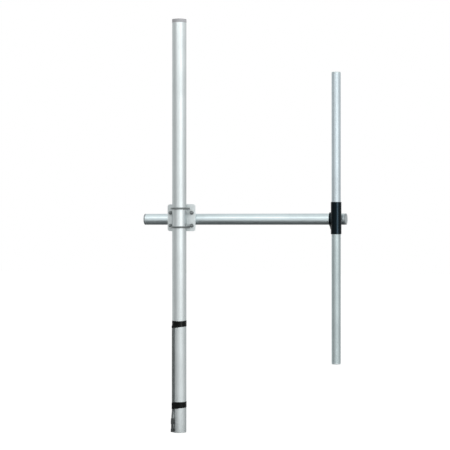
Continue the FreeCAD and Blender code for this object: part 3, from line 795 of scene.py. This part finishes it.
def moulded(name, colour, smooth, rough, dusty, rubbed, sheen=0.5, sheen_tint=(1.0, 1.0, 1.0), metallic=0.0):
    """Moulded plastic or rubber: fine grain, mottled gloss, paler rubbed edges and a little dust.

    A silver pigment makes it more metallic.
    """
    material, tree, shader, place = new_material(name)
    dust_colour = (0.34, 0.34, 0.33, 1.0)
    grain = tree.group(fine_grain, place, Scale=1300.0)
    wear = tree.group(edge_wear, place, Radius=0.7 * MM)
    dust = tree.group(settled_dust, place, Amount=dusty)
    body = tree.mix(grain["Mottle"], shade(colour, 0.8), shade(colour, 1.2))
    body = tree.tint(body, wear["Wear"], shade(colour, rubbed), share=0.6)
    body = tree.mix(dust["Dust"], body, dust_colour)
    roughness = tree.gloss(grain["Mottle"], smooth, rough)
    normal = tree.bump(grain["Height"], strength=0.18, distance=0.06 * MM)
    tree.feed(shader, {"Base Color": body, "Metallic": metallic, "Roughness": roughness, "Normal": normal})
    tree.feed(shader, {"Specular IOR Level": sheen, "Specular Tint": opaque(sheen_tint)})
    return material


def housing_black(settings):
    """Glossy black of the feed housing, with a weak bluish sheen."""
    bluish = (0.48, 0.77, 1.0)
    return moulded(
        "Moulded black housing", settings.moulded.housing,
        smooth=0.20, rough=0.28, dusty=0.02, rubbed=4.0, sheen=0.12, sheen_tint=bluish,
    )


def cap_silver(settings):
    return moulded(
        "Moulded silver grey cap", settings.moulded.cap,
        smooth=0.34, rough=0.44, dusty=0.03, rubbed=1.2, metallic=0.85,
    )


# A darker copy of the cap grey: painted shade on the boom's end faces
def boom_cap_shaded_grey(settings):
    return moulded(
        "Moulded grey boom cap, darkened as painted shade", settings.moulded.boom_cap,
        smooth=0.38, rough=0.48, dusty=0.03, rubbed=1.2, metallic=0.6,
    )


def cap_grey(settings):
    return moulded(
        "Moulded grey cap", settings.moulded.mast_cap,
        smooth=0.46, rough=0.6, dusty=0.12, rubbed=1.35,
    )


def jacket_black(settings):
    return moulded(
        "Extruded black jacket", settings.moulded.jacket,
        smooth=0.36, rough=0.48, dusty=0.06, rubbed=1.5,
    )


def rubber_black(settings):
    """Dull rubber, darker than the jacket."""
    return moulded(
        "Black rubber", shade(settings.moulded.jacket, 0.3)[:3],
        smooth=0.55, rough=0.7, dusty=0.05, rubbed=1.6,
    )


def vinyl_tape(settings):
    """Stretched vinyl: ripples across the strip, glossy with duller thumbed patches, grey rubbed edges."""
    material, tree, shader, place = new_material("Black vinyl tape")
    colour = settings.tape.colour
    dust_colour = (0.30, 0.30, 0.29, 1.0)
    upright = tree.add("ShaderNodeMapping", {"Vector": place, "Scale": (1.0, 1.0, 0.25)}).outputs[0]
    ripples = tree.noise(upright, scale=420.0, detail=2.0)
    grain = tree.group(fine_grain, place, Scale=900.0)
    wear = tree.group(edge_wear, place, Radius=0.25 * MM)
    dust = tree.group(settled_dust, place, Amount=0.02)
    body = tree.mix(grain["Mottle"], shade(colour, 0.8), shade(colour, 1.25))
    body = tree.tint(body, wear["Wear"], shade(colour, 3.0), share=0.5)
    body = tree.mix(dust["Dust"], body, dust_colour)
    roughness = tree.gloss(grain["Mottle"], smooth=0.20, rough=0.36)
    normal = tree.bump(ripples, strength=0.25, distance=0.12 * MM)
    tree.feed(shader, {"Base Color": body, "Roughness": roughness, "Normal": normal})
    tree.feed(shader, {"Specular IOR Level": 0.09})
    return material


def plated(name, colour, smooth, rough):
    """Plated metal of plug and terminals: mottled gloss, tarnish in patches, bright edges."""
    material, tree, shader, place = new_material(name)
    grain = tree.group(fine_grain, place, Scale=1800.0)
    oxide = tree.group(oxide_bloom, place, Scale=140.0)
    wear = tree.group(edge_wear, place, Radius=0.3 * MM)
    body = tree.mix(oxide["Patches"], opaque(colour), shade(colour, 0.72))
    body = tree.tint(body, wear["Wear"], shade(colour, 1.5), share=0.6)
    roughness = tree.gloss(grain["Mottle"], smooth, rough)
    normal = tree.bump(grain["Height"], strength=0.08, distance=0.04 * MM)
    tree.feed(shader, {"Base Color": body, "Metallic": 1.0, "Roughness": roughness, "Normal": normal})
    return material


def plug_metal(settings):
    return plated("Dark nickel plug", (0.085, 0.09, 0.09), smooth=0.30, rough=0.42)


def terminal_brass(settings):
    return plated("Terminal brass", (0.72, 0.53, 0.24), smooth=0.26, rough=0.4)


FINISHES = {
    "aluminium_tube": mast_metal,
    "grey_cap": cap_silver,
    "plate_metal": mill_plate,
    "zinc_hardware": zinc_plate,
    "black_housing": housing_black,
    "brass_terminal": terminal_brass,
    "cable_jacket": jacket_black,
    "black_rubber": rubber_black,
    "nickel_plug": plug_metal,
    "black_tape": vinyl_tape,
}
OWN_FINISHES = {
    "boom_tube": boom_metal,
    "upper_element": upper_element_metal,
    "lower_element": lower_element_shaded_metal,
    "mast_cap": cap_grey,
    "boom_tail_cap": boom_cap_shaded_grey,
    "boom_nose_cap": boom_cap_shaded_grey,
}


@functools.cache
def finish_made(make):
    """A finish, made the first time that it is asked for."""
    return make(bpy.context.scene.antenna)


def finish_of(node):
    """A node's own finish, or that of its slot."""
    return finish_made(OWN_FINISHES.get(node, FINISHES[SLOT_OF[node]]))


# Lamps, and glowing cards that paint reflections: degrees to the right of the front, degrees up, metres
STUDIO_MIDDLE = Vector((0.2, 0.03, 0.66))
LAMPS = {
    "Key": dict(azimuth=40, elevation=11, distance=2.5, size=(2.0, 1.7), radiance=1.02),
    "Top light": dict(azimuth=-12, elevation=36, distance=2.4, size=(2.0, 0.6), radiance=2.2),
    "Side light": dict(azimuth=58, elevation=12, distance=2.4, size=(1.5, 1.5), radiance=4.2),
    "Strip light": dict(azimuth=46, elevation=8, distance=2.5, size=(1.1, 1.6), radiance=10.5),
}
DOWN = -90
BEHIND = (0, 0.8, 0)
AHEAD = (-0.6, -1.75, 0)
# Glowing sheets seen only in reflections: the low and front cards paint the dark reflection under the boom,
# and the side cards paint greyer reflections at the tubes' edges
CARDS = {
    "Low card": dict(shift=BEHIND, azimuth=0, elevation=DOWN, distance=1.05, size=(2.4, 4.0), level=0.11),
    "Front card": dict(shift=AHEAD, azimuth=0, elevation=DOWN, distance=1.05, size=(1.2, 1.15), level=0.11),
    "Left card": dict(azimuth=-62, elevation=-4, distance=1.7, size=(2.2, 2.6), level=0.56),
    "Right card": dict(azimuth=124, elevation=-12, distance=1.9, size=(2.6, 1.8), level=0.74),
}


# Studio
def heading(azimuth, elevation=0.0):
    """Direction from the object to an azimuth, counted from the front to the right, and an elevation."""
    level = math.cos(elevation)
    return Vector((math.sin(azimuth) * level, -math.cos(azimuth) * level, math.sin(elevation)))


def facing(location, target):
    """The turn that points an object's -Z at a target, with its Y up."""
    return (target - location).to_track_quat("-Z", "Y").to_euler()


def softbox(name, azimuth, elevation, distance, size, radiance):
    """A rectangular lamp that faces the middle; its power is pi times area times radiance."""
    lamp = bpy.data.lights.new(name, "AREA")
    lamp.shape = "RECTANGLE"
    lamp.size, lamp.size_y = size
    lamp.energy = math.pi * size[0] * size[1] * radiance
    box = bpy.data.objects.new(name, lamp)
    box.location = STUDIO_MIDDLE + heading(math.radians(azimuth), math.radians(elevation)) * distance
    box.rotation_euler = facing(box.location, STUDIO_MIDDLE)
    bpy.context.scene.collection.objects.link(box)
    return box


def light_only(lamp, pieces):
    """Lets a lamp light some pieces and nothing else."""
    lit = bpy.data.collections.new(lamp.name)
    for piece in pieces:
        lit.objects.link(piece)
    lamp.light_linking.receiver_collection = lit


def bare_material(name):
    """A material whose surface is still open, its tree helper and its output node."""
    material = bpy.data.materials.new(name)
    material.use_nodes = True
    nodes = material.node_tree.nodes
    nodes.remove(nodes["Principled BSDF"])
    return material, Tree(material.node_tree), nodes["Material Output"]


def panel(name, centre, across, upward, material):
    """A flat rectangle given by its middle and two half sides."""
    right, left = centre + across, centre - across
    mesh = bpy.data.meshes.new(name)
    mesh.from_pydata([left - upward, right - upward, right + upward, left + upward], [], [(0, 1, 2, 3)])
    mesh.materials.append(material)
    made = bpy.data.objects.new(name, mesh)
    bpy.context.scene.collection.objects.link(made)
    return made


def card(name, azimuth, elevation, distance, size, level, shift=(0, 0, 0)):
    """A glowing grey sheet that only reflections see, in place of a photographer's card: it paints a grey
    reflection into metal and gloss.
    """
    material, tree, output = bare_material(name)
    glow = tree.add("ShaderNodeEmission", {"Color": grey(level), "Strength": 1.0}).outputs[0]
    tree.feed(output, {"Surface": glow})
    away = heading(math.radians(azimuth), math.radians(elevation))
    across = Vector(X) if elevation == DOWN else away.cross(Vector(Z)).normalized()
    upward = across.cross(away)
    centre = STUDIO_MIDDLE + Vector(shift) + away * distance
    made = panel(name, centre, across * size[0] / 2, upward * size[1] / 2, material)
    made.visible_camera = False
    made.visible_diffuse = False
    made.visible_shadow = False


def pale_for_lens(tree):
    """1 for rays from the camera and for mirrored and transmitted ones: metal shows the pale room too."""
    path = tree.add("ShaderNodeLightPath").outputs
    mirrored = tree.math("MAXIMUM", path["Is Glossy Ray"], path["Is Transmission Ray"])
    return tree.math("MAXIMUM", path["Is Camera Ray"], mirrored)


def pale_room(ambient):
    """A world that is white where it is seen, and a softer white as light."""
    world = bpy.data.worlds.new("Pale room")
    world.use_nodes = True
    tree = Tree(world.node_tree)
    world.node_tree.nodes.clear()
    soft = tree.add("ShaderNodeBackground", {"Color": grey(1.0), "Strength": ambient}).outputs[0]
    seen = tree.add("ShaderNodeBackground", {"Color": grey(1.0), "Strength": 1.0}).outputs[0]
    mixed = tree.add("ShaderNodeMixShader", {0: pale_for_lens(tree), 1: soft, 2: seen}).outputs[0]
    tree.add("ShaderNodeOutputWorld", {"Surface": mixed})
    bpy.context.scene.world = world


def pale_floor(height):
    """A large white floor that takes soft shadows and glows enough to meet the white room."""
    cloth_level, paper_level, glow_level = 0.86, 0.36, 0.88
    half_side = 30
    material, tree, output = bare_material("Pale floor")
    cloth = tree.add("ShaderNodeBsdfDiffuse", {"Color": grey(cloth_level)}).outputs[0]
    paper = tree.add("ShaderNodeBsdfDiffuse", {"Color": grey(paper_level)}).outputs[0]
    glow = tree.add("ShaderNodeEmission", {"Color": grey(1.0), "Strength": glow_level}).outputs[0]
    lit = tree.add("ShaderNodeAddShader", {0: paper, 1: glow}).outputs[0]
    surface = tree.add("ShaderNodeMixShader", {0: pale_for_lens(tree), 1: cloth, 2: lit}).outputs[0]
    tree.feed(output, {"Surface": surface})
    panel("floor", Vector((0, 0, height)), Vector(X) * half_side, Vector(Y) * half_side, material)


def camera(studio):
    """A level camera that looks past the mast, at the photograph's angle."""
    right = Vector((math.cos(studio.azimuth), math.sin(studio.azimuth), 0))
    target = right * studio.aim_right + Vector((0, 0, studio.eye_height))
    lens = bpy.data.cameras.new("Camera")
    lens.lens = studio.focal_length
    lens.clip_end = 100
    made = bpy.data.objects.new("Camera", lens)
    made.location = target + heading(studio.azimuth) * studio.distance
    made.rotation_euler = facing(made.location, target)
    bpy.context.scene.collection.objects.link(made)
    bpy.context.scene.camera = made


# Operators
class ANTENNA_OT_u_bolts(bpy.types.Operator):
    """Make the four U-bolts with rolled threads on their legs"""

    bl_idname = "antenna.u_bolts"
    bl_label = "U-bolts"

    def execute(self, context):
        shape = context.scene.antenna.fasteners
        for bolts, side, leg in CLAMPS.values():
            for bolt in bolts:
                add_piece(bolt, "_threaded", [threaded_u_bolt(bolt, side, leg, shape)], crease=50)
        return {"FINISHED"}


class ANTENNA_OT_clamp_hardware(bpy.types.Operator):
    """Make the nuts, split washers and washers on the legs of the U-bolts"""

    bl_idname = "antenna.clamp_hardware"
    bl_label = "Clamp nuts and washers"

    def execute(self, context):
        across_flats = context.scene.antenna.fasteners.across_flats
        thread_gap, hole_gap, slit = 0.05 * MM, 0.3 * MM, 1.2 * MM
        for clamp, (bolts, side, leg) in CLAMPS.items():
            places = leg_places(bolts, side, leg)
            legs_apart = np.ptp([x for x, z in places])
            rod_r = bolt_layout(bolts[0], side, leg)[2]
            for kind in ("nuts", "split_washers", "washers"):
                node = clamp + "_" + kind
                low, high = corners_of(node)
                thickness = high[1] - low[1]
                face = low[1] if leg[1] > 0 else high[1]
                outer_r = (high[0] - low[0] - legs_apart) / 2
                if kind == "nuts":
                    surface = clamp_nut(across_flats, thickness, rod_r + thread_gap)
                elif kind == "split_washers":
                    surface = split_washer(outer_r, rod_r + hole_gap, thickness, slit)
                else:
                    surface = flat_washer(outer_r, rod_r + hole_gap, thickness)
                add_piece(node, "_made", on_legs(surface, places, face, leg))
        return {"FINISHED"}


class ANTENNA_OT_screws(bpy.types.Operator):
    """Make the knurled screws of the saddle and the button-head screws of the elements"""

    bl_idname = "antenna.screws"
    bl_label = "Saddle and element screws"

    def execute(self, context):
        shape = context.scene.antenna.fasteners
        saddle = ("saddle_screws", shape.saddle_head / 2, shape.ridges)
        element = ("element_screws", shape.element_head / 2, 0)
        for node, head_r, ridges in (saddle, element):
            low, high = corners_of(node)
            seat = high[1] - SCREWS[node]["head_height"]
            points, quads = socket_screw(head_r, ridges, seat - low[1], **SCREWS[node])
            # Both sides of the box give the same x where the screws stand in one column
            columns = sorted({round(x, 5) for x in (low[0] + head_r, high[0] - head_r)})
            levels = (low[2] + head_r, high[2] - head_r)
            places = [np.array([x, seat, z]) for x in columns for z in levels]
            add_piece(node, "_made", [(set_down(points, place, X, Y), quads) for place in places])
        return {"FINISHED"}


class ANTENNA_OT_mast_cap(bpy.types.Operator):
    """Make the mast's cap with its lip over the tube's end"""

    bl_idname = "antenna.mast_cap"
    bl_label = "Mast cap"

    def execute(self, context):
        lip = context.scene.antenna.moulded.lip
        add_piece("mast_cap", "_lipped", [lipped_cap("mast_cap", "mast_tube", lip)])
        return {"FINISHED"}


class ANTENNA_OT_tapes(bpy.types.Operator):
    """Wind the two bands of tape round mast and feeder"""

    bl_idname = "antenna.tapes"
    bl_label = "Bands of tape"

    def execute(self, context):
        shape = context.scene.antenna.tape
        below_middle = 5.5 * MM
        leaves_at = sum(corners_of("upper_tape"))[2] / 2 - below_middle
        upper = wound_tape("upper_tape", shape, seed=0.7, leaves_at=leaves_at, slope=0.7)
        lower = wound_tape("lower_tape", shape, seed=2.6)
        add_piece("upper_tape", "_wound", [upper], crease=40)
        add_piece("lower_tape", "_wound", [lower], crease=40)
        return {"FINISHED"}


class ANTENNA_OT_finishes(bpy.types.Operator):
    """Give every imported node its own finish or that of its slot"""

    bl_idname = "antenna.finishes"
    bl_label = "Finishes"

    def execute(self, context):
        for name, node in NODES.items():
            node.data.materials.clear()
            node.data.materials.append(finish_of(name))
        return {"FINISHED"}


class ANTENNA_OT_stage(bpy.types.Operator):
    """Set up floor, room, lamps, cards and camera"""

    bl_idname = "antenna.stage"
    bl_label = "Studio"

    def execute(self, context):
        studio = context.scene.antenna.studio
        context.scene.view_settings.view_transform = "Standard"
        pale_room(studio.ambient)
        pale_floor(studio.floor_height)
        lamps = {name: softbox(name, **place) for name, place in LAMPS.items()}
        lamps["Side light"].visible_glossy = False
        black_pieces = [bpy.data.objects[name] for name in ("upper_tape_wound", "lower_tape_wound")]
        black_pieces += [NODES["feed_housing"], NODES["saddle_cap"]]
        light_only(lamps["Strip light"], black_pieces)
        for name, place in CARDS.items():
            card(name, **place)
        camera(studio)
        return {"FINISHED"}


class ANTENNA_PT_sidebar(bpy.types.Panel):
    """Lists the antenna's operators and settings"""

    bl_idname = "ANTENNA_PT_sidebar"
    bl_label = "Base station antenna"
    bl_space_type = "VIEW_3D"
    bl_region_type = "UI"
    bl_category = "Antenna"

    def draw(self, context):
        settings = context.scene.antenna
        for operator in OPERATORS:
            self.layout.operator(operator.bl_idname)
        for group in (settings.tubes, settings.fasteners, settings.tape, settings.moulded, settings.studio):
            column = self.layout.box().column()
            for name in group.__annotations__:
                column.prop(group, name)


OPERATORS = (
    ANTENNA_OT_u_bolts,
    ANTENNA_OT_clamp_hardware,
    ANTENNA_OT_screws,
    ANTENNA_OT_mast_cap,
    ANTENNA_OT_tapes,
    ANTENNA_OT_finishes,
    ANTENNA_OT_stage,
)
GROUPS = (TubeFinish, FastenerShape, TapeShape, MouldedFinish, StudioSetup, AntennaSettings)
CLASSES = GROUPS + OPERATORS + (ANTENNA_PT_sidebar,)


def register():
    """Registers the classes and gives the scene its settings."""
    for made in CLASSES:
        bpy.utils.register_class(made)
    bpy.types.Scene.antenna = bpy.props.PointerProperty(
        name="Antenna", description="Settings of the antenna", type=AntennaSettings
    )


def unregister():
    """Takes the settings and the classes away again."""
    del bpy.types.Scene.antenna
    for made in reversed(CLASSES):
        bpy.utils.unregister_class(made)


def main():
    """Makes every piece and the stage."""
    register()
    bpy.ops.antenna.u_bolts()
    bpy.ops.antenna.clamp_hardware()
    bpy.ops.antenna.screws()
    bpy.ops.antenna.mast_cap()
    bpy.ops.antenna.tapes()
    bpy.ops.antenna.finishes()
    bpy.ops.antenna.stage()


if __name__ == "__main__":
    main()
